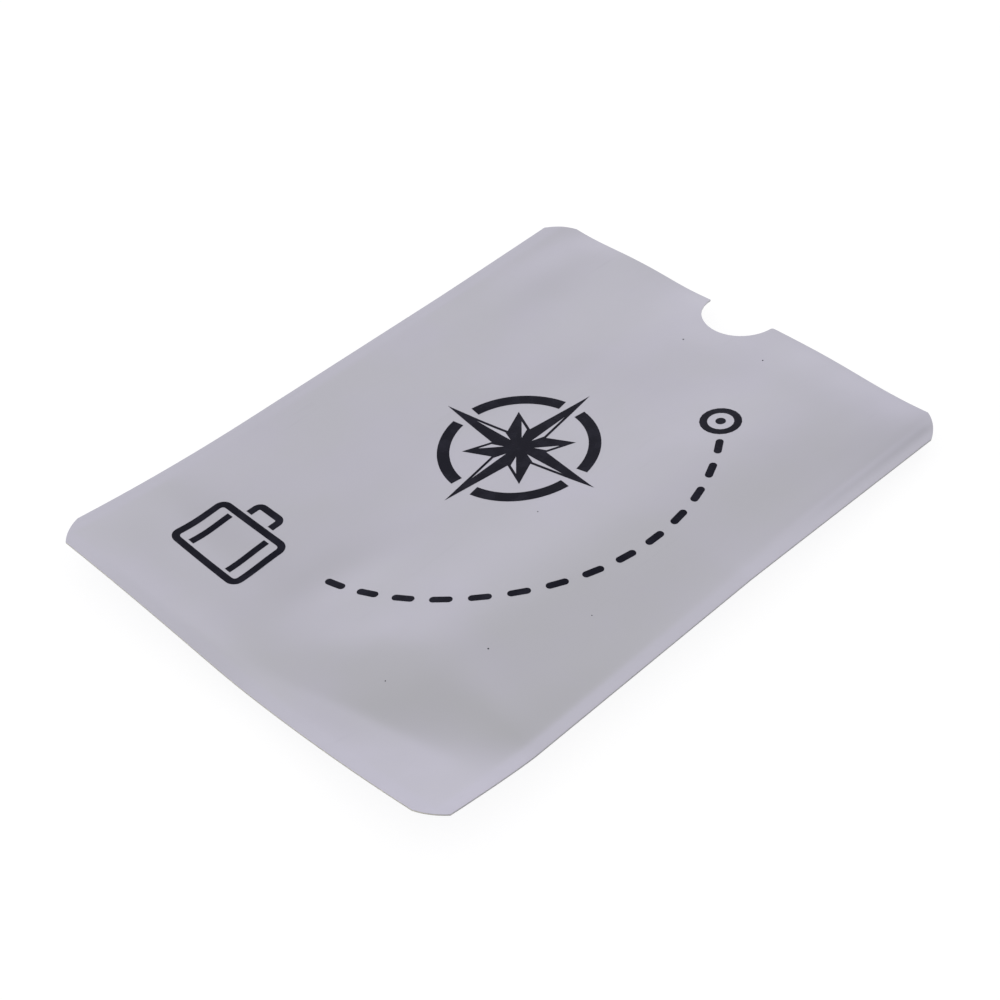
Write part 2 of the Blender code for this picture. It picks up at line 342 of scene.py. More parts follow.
def cutNotch(blank):
    radius, outset, steps = (blankCut[key] for key in ("notchRadius", "notchOutset", "notchSteps"))
    middle = blankCut["notchPlace"]
    lip = math.asin(outset / radius)
    arc = []
    for index in range(1, steps):
        angle = math.pi + lip + (math.pi - 2 * lip) * index / steps
        x = middle + radius * math.cos(angle)
        arc.append(Vector((x, halfLength + outset + radius * math.sin(angle), 0)))
    lips = []
    for side in (-1, 1):
        place = middle + side * radius * math.cos(lip)
        for edge in blank.edges:
            start, end = edge.verts
            onMouth = min(start.co.y, end.co.y) > halfLength - blankCut["edgeTolerance"]
            if onMouth and min(start.co.x, end.co.x) < place < max(start.co.x, end.co.x):
                share = (place - start.co.x) / (end.co.x - start.co.x)
                lips.append(bmesh.utils.edge_split(edge, start, share)[1])
                break
    bmesh.utils.face_split(blank.faces[:][0], lips[0], lips[1], coords=arc)
    offcut = min(blank.faces, key=lambda face: face.calc_area())
    bmesh.ops.delete(blank, geom=[offcut], context="FACES")
    for lipCorner, rounding in zip(lips, blankCut["lipRounding"]):
        bmesh.ops.bevel(
            blank, geom=[lipCorner], offset=rounding, affect="VERTICES",
            segments=blankCut["lipSteps"], profile=0.5, material=-1,
        )


def slicePlaces(low, high, lowCuts, highCuts, cell):
    start = low + lowCuts[-1]
    end = high - highCuts[-1]
    count = 2 * round((end - start) / cell / 2)     # even, so that one cut runs down the middle
    places = [low + cut for cut in lowCuts] + [high - cut for cut in highCuts]
    places += [start + (end - start) * index / count for index in range(1, count)]
    return sorted(places)


def sliceAlong(shape, axis, places):  # from low to high, each cut only through what is left
    normal = Vector((1, 0, 0)) if axis == 0 else Vector((0, 1, 0))
    uncut = shape.faces[:]
    for place in places:
        near = set(uncut)
        for face in uncut:
            near.update(face.edges)
            near.update(face.verts)
        cut = bmesh.ops.bisect_plane(
            shape, geom=list(near), dist=blankCut["cutTolerance"],
            plane_co=normal * place, plane_no=normal,
        )
        faces = [item for item in cut["geom"] if isinstance(item, bmesh.types.BMFace)]
        uncut = [face for face in faces if face.calc_center_median()[axis] > place]


def makeBlank():  # one panel as it is die cut, laid flat and sliced into cells
    blank = bmesh.new()
    bmesh.ops.create_grid(blank, x_segments=1, y_segments=1, size=1.0)
    bmesh.ops.scale(blank, vec=(halfWidth, halfLength, 1), verts=blank.verts[:])
    roundCorners(blank)
    cutNotch(blank)
    sealCuts, mouthCuts, cell = (blankCut[key] for key in ("sealCuts", "mouthCuts", "cell"))
    sliceAlong(blank, 0, slicePlaces(-halfWidth, halfWidth, sealCuts, sealCuts, cell))
    sliceAlong(blank, 1, slicePlaces(-halfLength, halfLength, sealCuts, mouthCuts, cell))
    bmesh.ops.remove_doubles(blank, verts=blank.verts[:], dist=blankCut["weld"])
    return blank


def thicken(shape, thickness):  # raises a closed sheet on the shape, its cut sides as material 1
    flat = set(shape.faces)
    raised = bmesh.ops.extrude_face_region(shape, geom=shape.faces[:])["geom"]
    top = [item for item in raised if isinstance(item, bmesh.types.BMVert)]
    flat.update(item for item in raised if isinstance(item, bmesh.types.BMFace))
    bmesh.ops.translate(shape, verts=top, vec=(0, 0, thickness))
    for face in shape.faces:
        face.material_index = 0 if face in flat else 1


sharpAngle = 40     # degrees past which an edge is shaded as a sharp one


def finishPiece(shape, name, finishes):
    bmesh.ops.scale(shape, vec=(mm, mm, mm), verts=shape.verts[:])
    bmesh.ops.recalc_face_normals(shape, faces=shape.faces[:])
    mesh = bpy.data.meshes.new(name)
    shape.to_mesh(mesh)
    shape.free()
    for finish in finishes:
        mesh.materials.append(finish)
    mesh.shade_smooth()
    mesh.set_sharp_from_angle(angle=math.radians(sharpAngle))
    piece = bpy.data.objects.new(name, mesh)
    bpy.context.scene.collection.objects.link(piece)
    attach(piece, "root")
    return piece


# Shared effects, as shader node groups on Object coordinates
def startGroup(name, inputs, output):
    group = bpy.data.node_groups.new(name, "ShaderNodeTree")
    group.interface.new_socket("Vector", in_out="INPUT", socket_type="NodeSocketVector")
    for label, value in inputs.items():
        socket = group.interface.new_socket(label, in_out="INPUT", socket_type="NodeSocketFloat")
        socket.default_value = value
    group.interface.new_socket(output, in_out="OUTPUT", socket_type="NodeSocketFloat")
    return group, group.nodes.new("NodeGroupInput").outputs, group.nodes.new("NodeGroupOutput")


def setInput(tree, socket, value):  # by a link from another node, or as a plain number
    if isinstance(value, bpy.types.NodeSocket):
        tree.links.new(value, socket)
    else:
        socket.default_value = value


def addNoise(tree, vector, scale, detail, roughness):
    clouds = tree.nodes.new("ShaderNodeTexNoise")
    clouds.inputs["Detail"].default_value = detail
    clouds.inputs["Roughness"].default_value = roughness
    tree.links.new(vector, clouds.inputs["Vector"])
    setInput(tree, clouds.inputs["Scale"], scale)
    return clouds.outputs["Fac"]


def addStretch(tree, vector, along, turn):  # draws a pattern out along the sleeve, then turns it
    mapping = tree.nodes.new("ShaderNodeMapping")
    mapping.inputs["Scale"].default_value = (1.0, along, 1.0)
    mapping.inputs["Rotation"].default_value = (0, 0, math.radians(turn))
    tree.links.new(vector, mapping.inputs["Vector"])
    return mapping.outputs["Vector"]


def addMath(tree, operation, first, second):
    step = tree.nodes.new("ShaderNodeMath")
    step.operation = operation
    setInput(tree, step.inputs[0], first)
    setInput(tree, step.inputs[1], second)
    return step.outputs["Value"]


def addRange(tree, value, fromLow, fromHigh, toLow=0.0, toHigh=1.0):
    ramp = tree.nodes.new("ShaderNodeMapRange")
    limits = {"From Min": fromLow, "From Max": fromHigh, "To Min": toLow, "To Max": toHigh}
    for label, limit in limits.items():
        setInput(tree, ramp.inputs[label], limit)
    tree.links.new(value, ramp.inputs["Value"])
    return ramp.outputs["Result"]


blotchLook = {
    "inputs": {"Scale": 60.0, "Low": 0.4, "High": 0.6},
    "detail": 3.0,
    "roughness": 0.5,
}

grainLook = {
    "inputs": {"Tooth": 0.5, "Lines": 0.5},
    "tooth": (2600.0, 2.0, 0.55),   # scale, detail and roughness
    "lines": (900.0, 3.0, 0.6),
    "lineStretch": 0.03,
}

scuffLook = {
    "inputs": {"Amount": 0.12},
    "turns": (24, -41),
    "stretch": 0.05,
    "marks": (700.0, 2.0, 0.6),     # scale, detail and roughness
    "markRange": (0.66, 0.74),
    "patches": (45.0, 2.0, 0.5),
    "patchRange": (0.45, 0.65),
}

mottleLook = {
    "inputs": {"Scale": 900.0},
}


def makeBlotches():  # soft cloudy patches, a centimetre or two across
    group, given, end = startGroup("softBlotches", blotchLook["inputs"], "Mask")
    scale, detail, roughness = given["Scale"], blotchLook["detail"], blotchLook["roughness"]
    cloud = addNoise(group, given["Vector"], scale, detail, roughness)
    mask = addRange(group, cloud, given["Low"], given["High"])
    group.links.new(mask, end.inputs["Mask"])
    return group


def makeGrain():  # the fine tooth of extruded film, with the faint lines of the roll
    group, given, end = startGroup("filmGrain", grainLook["inputs"], "Height")
    tooth = addNoise(group, given["Vector"], *grainLook["tooth"])
    drawn = addStretch(group, given["Vector"], grainLook["lineStretch"], 0)
    lines = addNoise(group, drawn, *grainLook["lines"])
    height = addMath(
        group, "ADD",
        addMath(group, "MULTIPLY", tooth, given["Tooth"]),
        addMath(group, "MULTIPLY", lines, given["Lines"]),
    )
    group.links.new(height, end.inputs["Height"])
    return group


def makeScuffs():  # hairline rub marks from handling, two ways across the sheet
    group, given, end = startGroup("handlingScuffs", scuffLook["inputs"], "Mask")
    total = 0.0
    for turn in scuffLook["turns"]:
        drawn = addStretch(group, given["Vector"], scuffLook["stretch"], turn)
        marks = addNoise(group, drawn, *scuffLook["marks"])
        total = addMath(group, "ADD", total, addRange(group, marks, *scuffLook["markRange"]))
    patches = addNoise(group, given["Vector"], *scuffLook["patches"])
    patchy = addRange(group, patches, *scuffLook["patchRange"])
    total = addMath(group, "MULTIPLY", total, patchy)
    mask = addMath(group, "MULTIPLY", total, given["Amount"])
    group.links.new(mask, end.inputs["Mask"])
    return group


def makeMottle():  # the small dimples that the heated bars press into a seal
    group, given, end = startGroup("sealMottle", mottleLook["inputs"], "Height")
    cells = group.nodes.new("ShaderNodeTexVoronoi")
    cells.feature = "SMOOTH_F1"
    group.links.new(given["Vector"], cells.inputs["Vector"])
    group.links.new(given["Scale"], cells.inputs["Scale"])
    group.links.new(cells.outputs["Distance"], end.inputs["Height"])
    return group


blotches = makeBlotches()
grain = makeGrain()
scuffs = makeScuffs()
mottle = makeMottle()


def useGroup(tree, group, vector, **values):
    node = tree.nodes.new("ShaderNodeGroup")
    node.node_tree = group
    tree.links.new(vector, node.inputs["Vector"])
    for label, value in values.items():
        node.inputs[label].default_value = value
    return node.outputs[0]


def useAttribute(tree, name):
    attribute = tree.nodes.new("ShaderNodeAttribute")
    attribute.attribute_name = name
    return attribute.outputs["Fac"]


def startMaterial(name, metallic):
    material = bpy.data.materials.new(name)
    material.use_nodes = True
    tree = material.node_tree
    shader = tree.nodes["Principled BSDF"]
    shader.inputs["Metallic"].default_value = metallic
    return material, tree, shader, tree.nodes.new("ShaderNodeTexCoord").outputs["Object"]


def mixColours(tree, mask, first, second):
    mix = tree.nodes.new("ShaderNodeMix")
    mix.data_type = "RGBA"
    tree.links.new(mask, mix.inputs["Factor"])
    for label, colour in (("A", first), ("B", second)):
        plain = not isinstance(colour, bpy.types.NodeSocket)
        setInput(tree, mix.inputs[label], (*colour, 1) if plain else colour)
    return mix.outputs["Result"]


def addBump(tree, shader, height, depth):  # depth in millimetres for a height of 1
    bump = tree.nodes.new("ShaderNodeBump")
    bump.inputs["Distance"].default_value = depth * mm
    tree.links.new(height, bump.inputs["Height"])
    tree.links.new(bump.outputs["Normal"], shader.inputs["Normal"])


filmLook = {
    "lilac": (0.470, 0.463, 0.508),
    "grey": (0.465, 0.462, 0.494),
    "sealLilac": (0.476, 0.470, 0.516),
    # painted shade colour, for the mouth's right corner and along its crease
    "paintedShade": (0.395, 0.391, 0.426),
    "metallic": 0.85,
    "patches": {"Scale": 55.0, "Low": 0.38, "High": 0.62},
    "haze": {"Scale": 130.0, "Low": 0.3, "High": 0.7},
    "roughness": (0.30, 0.36),      # of clear and of hazy film
    "scuffs": 0.12,
    "sealHaze": 0.02,
    "sealFade": 1.4,                # the seal margin gives way to the open film over this length
    "mottleScale": 750.0,
    "mottleDepth": 0.010,
    "grain": {"Tooth": 0.6, "Lines": 0.8},
    "grainDepth": 0.004,
}


def makeFilmFinish():
    material, tree, shader, place = startMaterial("satinSilverFilm", filmLook["metallic"])
    sealed = useAttribute(tree, "sealed")
    cloudy = useGroup(tree, blotches, place, **filmLook["patches"])
    colour = mixColours(tree, cloudy, filmLook["lilac"], filmLook["grey"])
    colour = mixColours(tree, sealed, colour, filmLook["sealLilac"])
    # painted shade, darker towards the mouth's right corner and along its crease
    colour = mixColours(tree, useAttribute(tree, "paintedShade"), colour, filmLook["paintedShade"])
    tree.links.new(colour, shader.inputs["Base Color"])
    haze = useGroup(tree, blotches, place, **filmLook["haze"])
    hazy = addRange(tree, haze, 0, 1, *filmLook["roughness"])
    rubbed = addMath(tree, "ADD", hazy, useGroup(tree, scuffs, place, Amount=filmLook["scuffs"]))
    sealHaze = addMath(tree, "MULTIPLY", sealed, filmLook["sealHaze"])
    tree.links.new(addMath(tree, "ADD", rubbed, sealHaze), shader.inputs["Roughness"])
    dimples = useGroup(tree, mottle, place, Scale=filmLook["mottleScale"])
    dimples = addMath(tree, "MULTIPLY", dimples, sealed)
    depths = filmLook["mottleDepth"] / filmLook["grainDepth"]
    pressed = addMath(tree, "MULTIPLY", dimples, depths)
    height = addMath(tree, "ADD", useGroup(tree, grain, place, **filmLook["grain"]), pressed)
    addBump(tree, shader, height, filmLook["grainDepth"])
    return material


foilLook = {
    "bright": (0.83, 0.84, 0.86),
    "dull": (0.76, 0.77, 0.80),
    "patchScale": 90.0,
    "roughness": (0.22, 0.32),
    "grain": {"Tooth": 0.2, "Lines": 1.4},
    "grainDepth": 0.004,
}


def makeFoilFinish():
    material, tree, shader, place = startMaterial("rolledFoil", 1.0)
    cloudy = useGroup(tree, blotches, place, Scale=foilLook["patchScale"])
    colour = mixColours(tree, cloudy, foilLook["bright"], foilLook["dull"])
    tree.links.new(colour, shader.inputs["Base Color"])
    tree.links.new(addRange(tree, cloudy, 0, 1, *foilLook["roughness"]), shader.inputs["Roughness"])
    rolled = useGroup(tree, grain, place, **foilLook["grain"])
    addBump(tree, shader, rolled, foilLook["grainDepth"])
    return material


linerLook = {
    "light": (0.60, 0.60, 0.63),
    "dark": (0.54, 0.54, 0.56),
    "metallic": 0.25,
    "patches": {"Scale": 70.0, "Low": 0.35, "High": 0.65},
    "roughness": 0.42,
    "scuffs": 0.15,
    "grain": {"Tooth": 1.0, "Lines": 1.0},
    "grainDepth": 0.005,
}


def makeLinerFinish():
    material, tree, shader, place = startMaterial("greyLiner", linerLook["metallic"])
    cloudy = useGroup(tree, blotches, place, **linerLook["patches"])
    colour = mixColours(tree, cloudy, linerLook["light"], linerLook["dark"])
    tree.links.new(colour, shader.inputs["Base Color"])
    marks = useGroup(tree, scuffs, place, Amount=linerLook["scuffs"])
    tree.links.new(addMath(tree, "ADD", marks, linerLook["roughness"]), shader.inputs["Roughness"])
    toothed = useGroup(tree, grain, place, **linerLook["grain"])
    addBump(tree, shader, toothed, linerLook["grainDepth"])
    return material


sealLook = {
    "light": (0.56, 0.54, 0.50),
    "dark": (0.48, 0.46, 0.42),
    "metallic": 0.05,
    "patchScale": 400.0,
    "roughness": (0.42, 0.55),
    "mottleScale": 900.0,
    "mottleDepth": 0.01,
}


def makeSealFinish():
    material, tree, shader, place = startMaterial("fusedSeal", sealLook["metallic"])
    cloudy = useGroup(tree, blotches, place, Scale=sealLook["patchScale"])
    colour = mixColours(tree, cloudy, sealLook["light"], sealLook["dark"])
    tree.links.new(colour, shader.inputs["Base Color"])
    tree.links.new(addRange(tree, cloudy, 0, 1, *sealLook["roughness"]), shader.inputs["Roughness"])
    dimples = useGroup(tree, mottle, place, Scale=sealLook["mottleScale"])
    addBump(tree, shader, dimples, sealLook["mottleDepth"])
    return material


cutLook = {
    "grey": (0.33, 0.325, 0.33),
    "tan": (0.62, 0.60, 0.50),
    "tanRange": (-62.5, -66.0),     # along the sleeve, where the closed end's warmer cut begins
    "tanShare": (0.6, 1.0),
    "notchLight": (0.56, 0.555, 0.57),    # painted light: the cut is painted paler in the notch, where the two cuts lie close
    "notchLightRange": (10.5, 9.0),       # out from the notch's centre
    "metallic": 0.2,
    "burrs": {"Scale": 900.0, "Low": 0.55, "High": 0.68},
    "roughness": (0.55, 0.35),
    "grain": {"Tooth": 1.0, "Lines": 0.5},
    "grainDepth": 0.01,
}


def makeCutFinish():  # the laminate's edge as the knife left it, with painted light in the notch
    material, tree, shader, place = startMaterial("cutEdge", cutLook["metallic"])
    split = tree.nodes.new("ShaderNodeSeparateXYZ")
    tree.links.new(place, split.inputs[0])
    warm = addRange(tree, split.outputs["Y"], *(limit * mm for limit in cutLook["tanRange"]))
    burrs = useGroup(tree, blotches, place, **cutLook["burrs"])
    mask = addMath(tree, "MULTIPLY", warm, addRange(tree, burrs, 0, 1, *cutLook["tanShare"]))
    # painted light: the cut grows paler towards the notch's centre
    span = tree.nodes.new("ShaderNodeVectorMath")
    span.operation = "DISTANCE"
    tree.links.new(place, span.inputs[0])
    span.inputs[1].default_value = (
        blankCut["notchPlace"] * mm, halfLength * mm, lie["mouthLevel"] * mm,
    )
    near = addRange(tree, span.outputs["Value"], *(limit * mm for limit in cutLook["notchLightRange"]))
    colour = mixColours(tree, mask, cutLook["grey"], cutLook["tan"])
    colour = mixColours(tree, near, colour, cutLook["notchLight"])
    tree.links.new(colour, shader.inputs["Base Color"])
    tree.links.new(addRange(tree, burrs, 0, 1, *cutLook["roughness"]), shader.inputs["Roughness"])
    rough = useGroup(tree, grain, place, **cutLook["grain"])
    addBump(tree, shader, rough, cutLook["grainDepth"])
    return material


inkLook = {
    "navy": (0.003, 0.003, 0.009),
    "thin": (0.010, 0.010, 0.019),
    "specular": 0.08,
    "patches": {"Scale": 320.0, "Low": 0.45, "High": 0.75},
    "roughness": (0.24, 0.34),
    "grain": {"Tooth": 1.2, "Lines": 0.3},
    "grainDepth": 0.003,
}


def makeInkFinish():
    material, tree, shader, place = startMaterial("navyInk", 0.0)
    shader.inputs["Specular IOR Level"].default_value = inkLook["specular"]
    patchy = useGroup(tree, blotches, place, **inkLook["patches"])
    colour = mixColours(tree, patchy, inkLook["navy"], inkLook["thin"])
    tree.links.new(colour, shader.inputs["Base Color"])
    tree.links.new(addRange(tree, patchy, 0, 1, *inkLook["roughness"]), shader.inputs["Roughness"])
    screened = useGroup(tree, grain, place, **inkLook["grain"])
    addBump(tree, shader, screened, inkLook["grainDepth"])
    return material


filmFinish = makeFilmFinish()
foilFinish = makeFoilFinish()
linerFinish = makeLinerFinish()
sealFinish = makeSealFinish()
cutFinish = makeCutFinish()
inkFinish = makeInkFinish()
print("finishes mixed")


def sealShare(x, y):
    seal = blankCut["sealWidth"]
    inside = min(halfWidth - abs(x), y + halfLength)
    return 1 - ease((inside - seal) / filmLook["sealFade"] + 0.5)


# Painted shade on the film: a darker mouth right corner and a dark line along the crease by the
# right side
paintedShading = {
    "shadeShare": 0.5,               # painted shade: the film is darker towards the mouth's right corner
    "shadeFrom": (5.0, 36.0),
    "shadeFull": (38.0, 62.0),
    "shadeEdge": (0.6, 2.0),         # the outermost margin there is left without the painted shade
    "creasePlace": 2.4,             # and the painted shade is darkest along its crease, this far in from the side
    "creaseWidths": (1.6, 0.7),     # inwards and outwards
    "creaseFrom": 22.0,
    "creaseFull": 40.0,
    "creaseLast": 61.0,
    "creaseEnd": 65.0,
}


# share of painted shade on the film at the mouth's right corner and along the right crease
def paintedShadeShare(x, y):
    fromX, fromY = paintedShading["shadeFrom"]
    fullX, fullY = paintedShading["shadeFull"]
    inside = halfWidth - x
    cornerShade = paintedShading["shadeShare"] * rise(x, fromX, fullX) * rise(y, fromY, fullY)
    cornerShade *= rise(inside, *paintedShading["shadeEdge"])
    width = paintedShading["creaseWidths"][0 if inside > paintedShading["creasePlace"] else 1]
    creaseShade = bell((inside - paintedShading["creasePlace"]) / width)
    creaseShade *= rise(y, paintedShading["creaseFrom"], paintedShading["creaseFull"])
    creaseShade *= rise(y, paintedShading["creaseEnd"], paintedShading["creaseLast"])
    return cornerShade + (1 - paintedShading["shadeShare"]) * creaseShade


def makePly(name, node, heights, lift, thickness, finish):
    shape = blank.copy()
    sealed = shape.verts.layers.float.new("sealed")
    # each corner of the mesh keeps its share of painted shade
    paintedShade = shape.verts.layers.float.new("paintedShade")
    for corner, height in zip(shape.verts, heights):
        corner[sealed] = sealShare(corner.co.x, corner.co.y)
        corner[paintedShade] = paintedShadeShare(corner.co.x, corner.co.y)
        corner.co.z = height + lift
    thicken(shape, thickness)
    ply = finishPiece(shape, name, (finish, cutFinish))
    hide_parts(node)


blank = makeBlank()
print("blank cut,", len(blank.faces), "cells")
fronts = [frontTop(corner.co.x, corner.co.y) - panelThickness for corner in blank.verts]
backs = [backHeight(corner.co.x, corner.co.y) for corner in blank.verts]

film, foil, liner = laminate["film"], laminate["foil"], laminate["liner"]
foilOverLiner = liner + laminate["bond"]
filmOverLiner = foilOverLiner + foil + laminate["bond"]
foilOverFilm = film + laminate["bond"]
linerOverFilm = foilOverFilm + foil + laminate["bond"]

makePly("frontFilm", "front_cover_film", fronts, filmOverLiner, film, filmFinish)
makePly("frontFoil", "front_foil_shield", fronts, foilOverLiner, foil, foilFinish)
makePly("frontLiner", "front_sealing_liner", fronts, 0, liner, linerFinish)
makePly(
    "backLiner", "back_sealing_liner", backs, linerOverFilm, liner, linerFinish
)
makePly("backFoil", "back_foil_shield", backs, foilOverFilm, foil, foilFinish)
makePly("backFilm", "back_cover_film", backs, 0, film, filmFinish)
print("panels formed")


def makeSealBand():
    shape = blank.copy()
    seal = blankCut["sealWidth"]
    for corner in shape.verts:
        corner.co.z = sealHeight(corner.co.x, corner.co.y)
    inner = []
    for face in shape.faces:
        middle = face.calc_center_median()
        if abs(middle.x) < halfWidth - seal and middle.y > seal - halfLength:
            inner.append(face)
    bmesh.ops.delete(shape, geom=inner, context="FACES")
    thicken(shape, laminate["seal"])
    band = finishPiece(shape, "sealBand", (sealFinish, cutFinish))
    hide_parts("heat_seal_band")


makeSealBand()
print("seal band laid")

# The print: a plain travel design in bold dark lines, screened onto the front film
inkLayer = {
    "lift": 0.008,
    "thickness": 0.010,
    "cell": 1.0,
    "roundSteps": 8,
    "roundLimit": 0.999,        # keeps two full roundings from meeting in one point
    "arcSteps": 8,              # at the least, and otherwise one for each millimetre
    "discSteps": 24,
    "fleckSteps": 8,
}

compass = {
    "place": (-5.0, 8.0),
    "ringRadius": 14.4,
    "ringStroke": 2.4,
    "ringGap": 9.0,             # degrees left open on each side of a long point
    "pointRadius": 19.5,
    "shortRadius": 10.8,
    "waistRadius": 5.6,
    "lightStroke": 0.55,
}

route = {
    "centre": (-14.0, 6.0),
    "radius": 46.0,
    "start": -78.0,
    "end": 33.0,
    "dashes": 14,
    "dash": (4.2, 1.5),
    "markerAngle": 42.5,
    "markerRadius": 3.3,
    "markerStroke": 1.5,
    "markerDot": 1.0,
}

suitcase = {
    "place": (-27.0, -45.0),
    "size": (19.0, 13.5),
    "round": 2.2,
    "stroke": 1.5,
    "strapAcross": 5.2,
    "strapWidth": 1.4,
    "gap": 0.6,
    "handle": (7.6, 7.0),
    "handleRound": 1.8,
}

flecks = {
    "places": (
        (-2.6, 52.1), (13.8, 56.8), (10.9, -3.1), (29.0, -33.5), (36.5, -16.0), (20.5, -49.5),
    ),
    "radii": (0.17, 0.15, 0.13, 0.16, 0.11, 0.12),
}


def stamp(shape, motif, place, turn=0.0):  # adds a motif to the print and frees it
    turned = Matrix.Rotation(math.radians(turn), 3, "Z")
    bmesh.ops.rotate(motif, verts=motif.verts[:], matrix=turned)
    bmesh.ops.translate(motif, verts=motif.verts[:], vec=(*place, 0))
    mesh = bpy.data.meshes.new("motif")
    motif.to_mesh(mesh)
    motif.free()
    shape.from_mesh(mesh)
    bpy.data.meshes.remove(mesh)


def patchMotif(width, length, rounding):
    motif = bmesh.new()
    bmesh.ops.create_grid(motif, x_segments=1, y_segments=1, size=0.5)
    bmesh.ops.scale(motif, vec=(width, length, 1), verts=motif.verts[:])
    if rounding:
        bmesh.ops.bevel(
            motif, geom=motif.verts[:], offset=rounding * inkLayer["roundLimit"],
            affect="VERTICES", segments=inkLayer["roundSteps"], profile=0.5, material=-1,
        )
    return motif


def frameMotif(width, length, rounding, stroke):
    motif = patchMotif(width, length, rounding)
    middle = motif.faces[:]
    bmesh.ops.inset_region(
        motif, faces=middle, thickness=stroke, use_boundary=True, use_even_offset=True
    )
    bmesh.ops.delete(motif, geom=middle, context="FACES")
    return motif


def arcMotif(radius, stroke, start, sweep):
    motif = bmesh.new()
    angle = math.radians(start)
    ends = [
        motif.verts.new((reach * math.cos(angle), reach * math.sin(angle), 0))
        for reach in (radius - stroke / 2, radius + stroke / 2)
    ]
    line = motif.edges.new(ends)
    steps = max(inkLayer["arcSteps"], round(radius * math.radians(sweep)))
    bmesh.ops.spin(
        motif, geom=[*ends, line], axis=(0, 0, 1), angle=math.radians(sweep),
        steps=steps, use_merge=sweep == 360,
    )
    return motif


def discMotif(radius, steps):
    motif = bmesh.new()
    bmesh.ops.create_circle(motif, cap_ends=True, radius=radius, segments=steps)
    return motif


def roseMotif():  # eight points, each with a dark side and a light side drawn in outline
    motif = bmesh.new()
    reaches = [compass[key] for key in ("pointRadius", "waistRadius", "shortRadius", "waistRadius")]
    steps = 4 * len(reaches)
    between = 360 / steps
    bmesh.ops.create_circle(motif, cap_ends=True, cap_tris=True, radius=1.0, segments=steps)
    light = []
    for corner in motif.verts:
        if corner.co.length > 0.5:      # all but the one in the middle
            index = round(math.degrees(math.atan2(corner.co.y, corner.co.x)) / between)
            corner.co *= reaches[index % len(reaches)]
    for face in motif.faces:
        middle = face.calc_center_median()
        index = math.floor(math.degrees(math.atan2(middle.y, middle.x)) / between)
        if index % 2:
            light.append(face)
    stroke = compass["lightStroke"]
    bmesh.ops.inset_individual(motif, faces=light, thickness=stroke, use_even_offset=True)
    bmesh.ops.delete(motif, geom=light, context="FACES")
    return motif


def layInk(shape, name):  # slices the flat print into cells and lays it over the front film
    xs = [corner.co.x for corner in shape.verts]
    ys = [corner.co.y for corner in shape.verts]
    for axis, places in enumerate((xs, ys)):
        low, high = min(places), max(places)
        count = math.ceil((high - low) / inkLayer["cell"])
        step = (high - low) / count
        sliceAlong(shape, axis, [low + step * index for index in range(1, count)])
    for corner in shape.verts:
        corner.co.z = frontTop(corner.co.x, corner.co.y) + inkLayer["lift"]
    thicken(shape, inkLayer["thickness"])
    finishPiece(shape, name, (inkFinish, inkFinish))


def makeCompassPrint():
    shape = bmesh.new()
    stamp(shape, roseMotif(), compass["place"])
    sweep = 90 - 2 * compass["ringGap"]
    for quarter in range(4):
        start = 90 * quarter + compass["ringGap"]
        arc = arcMotif(compass["ringRadius"], compass["ringStroke"], start, sweep)
        stamp(shape, arc, compass["place"])
    layInk(shape, "compassPrint")


def onRoute(angle):
    x, y = route["centre"]
    angle = math.radians(angle)
    return (x + route["radius"] * math.cos(angle), y + route["radius"] * math.sin(angle))


def makeRoutePrint():
    shape = bmesh.new()
    length, width = route["dash"]
    for index in range(route["dashes"]):
        angle = route["start"] + (route["end"] - route["start"]) * index / (route["dashes"] - 1)
        stamp(shape, patchMotif(width, length, width / 2), onRoute(angle), angle)
    marker = onRoute(route["markerAngle"])
    stamp(shape, arcMotif(route["markerRadius"], route["markerStroke"], 0, 360), marker)
    stamp(shape, discMotif(route["markerDot"], inkLayer["discSteps"]), marker)
    layInk(shape, "routePrint")


def makeSuitcasePrint():
    shape = bmesh.new()
    x, y = suitcase["place"]
    width, length = suitcase["size"]
    stroke, gap = suitcase["stroke"], suitcase["gap"]
    stamp(shape, frameMotif(width, length, suitcase["round"], stroke), (x, y))
    strapLength = length - 2 * stroke - 2 * gap
    for side in (-1, 1):
        strap = patchMotif(suitcase["strapWidth"], strapLength, 0)
        stamp(shape, strap, (x + side * suitcase["strapAcross"], y))
    handleWidth, handleLength = suitcase["handle"]
    handle = frameMotif(handleWidth, handleLength, suitcase["handleRound"], stroke)
    bmesh.ops.bisect_plane(
        handle, geom=handle.verts[:] + handle.edges[:] + handle.faces[:],
        dist=blankCut["cutTolerance"], plane_co=(0, 0, 0), plane_no=(0, 1, 0), clear_inner=True,
    )
    stamp(shape, handle, (x, y + length / 2 + gap))
    layInk(shape, "suitcasePrint")


def makeInkFlecks():
    shape = bmesh.new()
    for place, radius in zip(flecks["places"], flecks["radii"]):
        stamp(shape, discMotif(radius, inkLayer["fleckSteps"]), place)
    layInk(shape, "inkFlecks")


makeCompassPrint()
makeRoutePrint()
makeSuitcasePrint()
makeInkFlecks()
print("print laid on the front")

studio = {
    "azimuth": 48.474,
    "elevation": 42.580,
    "roll": -4.937,
    "place": (205.00, -183.85, 252.69),
    "lens": 72.0,
    "sensor": 36.0,
    "nearest": 10.0,                    # nothing closer to the camera than this is drawn
    "floorSize": 6000.0,
    "floorDrop": 0.2,                   # under the sleeve
    "floorGlow": 0.855,
    "floorShade": 0.18,
    "floorBounce": 0.8,
    "skyStrength": 1.326,
    "skyBright": (0.940, 0.921, 1.0),   # near the horizon
    "skyDim": (0.552, 0.556, 0.528),    # overhead
    "skyFrom": 0.38,                    # sine of the height at which the sky starts to dim
    "skyTo": 0.95,
}


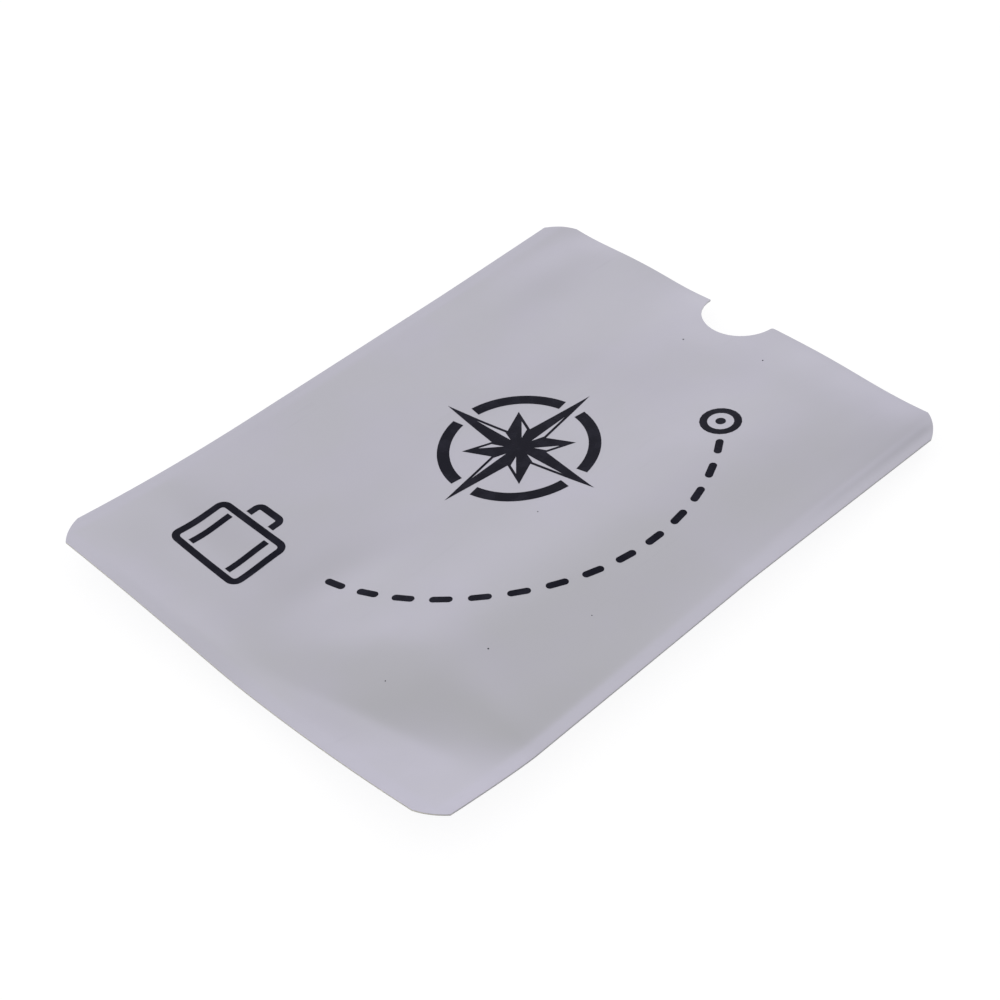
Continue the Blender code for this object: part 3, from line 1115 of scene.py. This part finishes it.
def makeCamera():
    angles = (studio[key] for key in ("azimuth", "elevation", "roll"))
    azimuth, elevation, roll = (math.radians(angle) for angle in angles)
    back = Vector((
        math.sin(azimuth) * math.cos(elevation),
        -math.cos(azimuth) * math.cos(elevation),
        math.sin(elevation),
    ))
    level = Vector((math.cos(azimuth), math.sin(azimuth), 0))
    upright = back.cross(level)
    right = level * math.cos(roll) + upright * math.sin(roll)
    up = upright * math.cos(roll) - level * math.sin(roll)
    lens = bpy.data.cameras.new("photoCamera")
    lens.lens = studio["lens"]
    lens.sensor_width = studio["sensor"]
    lens.clip_start = studio["nearest"] * mm
    camera = bpy.data.objects.new("photoCamera", lens)
    turn = Matrix((right, up, back)).transposed().to_4x4()
    camera.matrix_world = Matrix.Translation(Vector(studio["place"]) * mm) @ turn
    bpy.context.scene.collection.objects.link(camera)
    bpy.context.scene.camera = camera


def makeFloorFinish():  # glows white to the eye and in reflections, and takes the sleeve's shadow
    material = bpy.data.materials.new("whiteTable")
    material.use_nodes = True
    tree = material.node_tree
    shader = tree.nodes["Principled BSDF"]
    shader.inputs["Base Color"].default_value = (studio["floorShade"],) * 3 + (1,)
    shader.inputs["Roughness"].default_value = 1.0
    shader.inputs["Specular IOR Level"].default_value = 0.0
    shader.inputs["Emission Color"].default_value = (1, 1, 1, 1)
    shader.inputs["Emission Strength"].default_value = studio["floorGlow"]
    bounce = tree.nodes.new("ShaderNodeBsdfDiffuse")
    bounce.inputs["Color"].default_value = (studio["floorBounce"],) * 3 + (1,)
    ray = tree.nodes.new("ShaderNodeLightPath")
    seen = addMath(tree, "MAXIMUM", ray.outputs["Is Camera Ray"], ray.outputs["Is Glossy Ray"])
    seen = addMath(tree, "MAXIMUM", seen, ray.outputs["Is Transmission Ray"])
    mix = tree.nodes.new("ShaderNodeMixShader")
    tree.links.new(seen, mix.inputs[0])
    tree.links.new(bounce.outputs[0], mix.inputs[1])
    tree.links.new(shader.outputs[0], mix.inputs[2])
    tree.links.new(mix.outputs[0], tree.nodes["Material Output"].inputs["Surface"])
    return material


def makeFloor():
    shape = bmesh.new()
    bmesh.ops.create_grid(shape, x_segments=1, y_segments=1, size=studio["floorSize"] * mm / 2)
    bmesh.ops.translate(shape, verts=shape.verts[:], vec=(0, 0, -studio["floorDrop"] * mm))
    mesh = bpy.data.meshes.new("whiteTable")
    shape.to_mesh(mesh)
    shape.free()
    mesh.materials.append(makeFloorFinish())
    floor = bpy.data.objects.new("whiteTable", mesh)
    bpy.context.scene.collection.objects.link(floor)


def makeSky():  # a soft white surround, brightest low down and dimmer overhead
    world = bpy.data.worlds.new("softStudio")
    bpy.context.scene.world = world
    world.use_nodes = True
    tree = world.node_tree
    background = tree.nodes["Background"]
    background.inputs["Strength"].default_value = studio["skyStrength"]
    split = tree.nodes.new("ShaderNodeSeparateXYZ")
    tree.links.new(tree.nodes.new("ShaderNodeTexCoord").outputs["Generated"], split.inputs[0])
    height = addRange(tree, split.outputs["Z"], studio["skyFrom"], studio["skyTo"])
    colour = mixColours(tree, height, studio["skyBright"], studio["skyDim"])
    tree.links.new(colour, background.inputs["Color"])


makeCamera()
makeFloor()
makeSky()
bpy.context.scene.view_settings.view_transform = "Standard"
print("studio set")
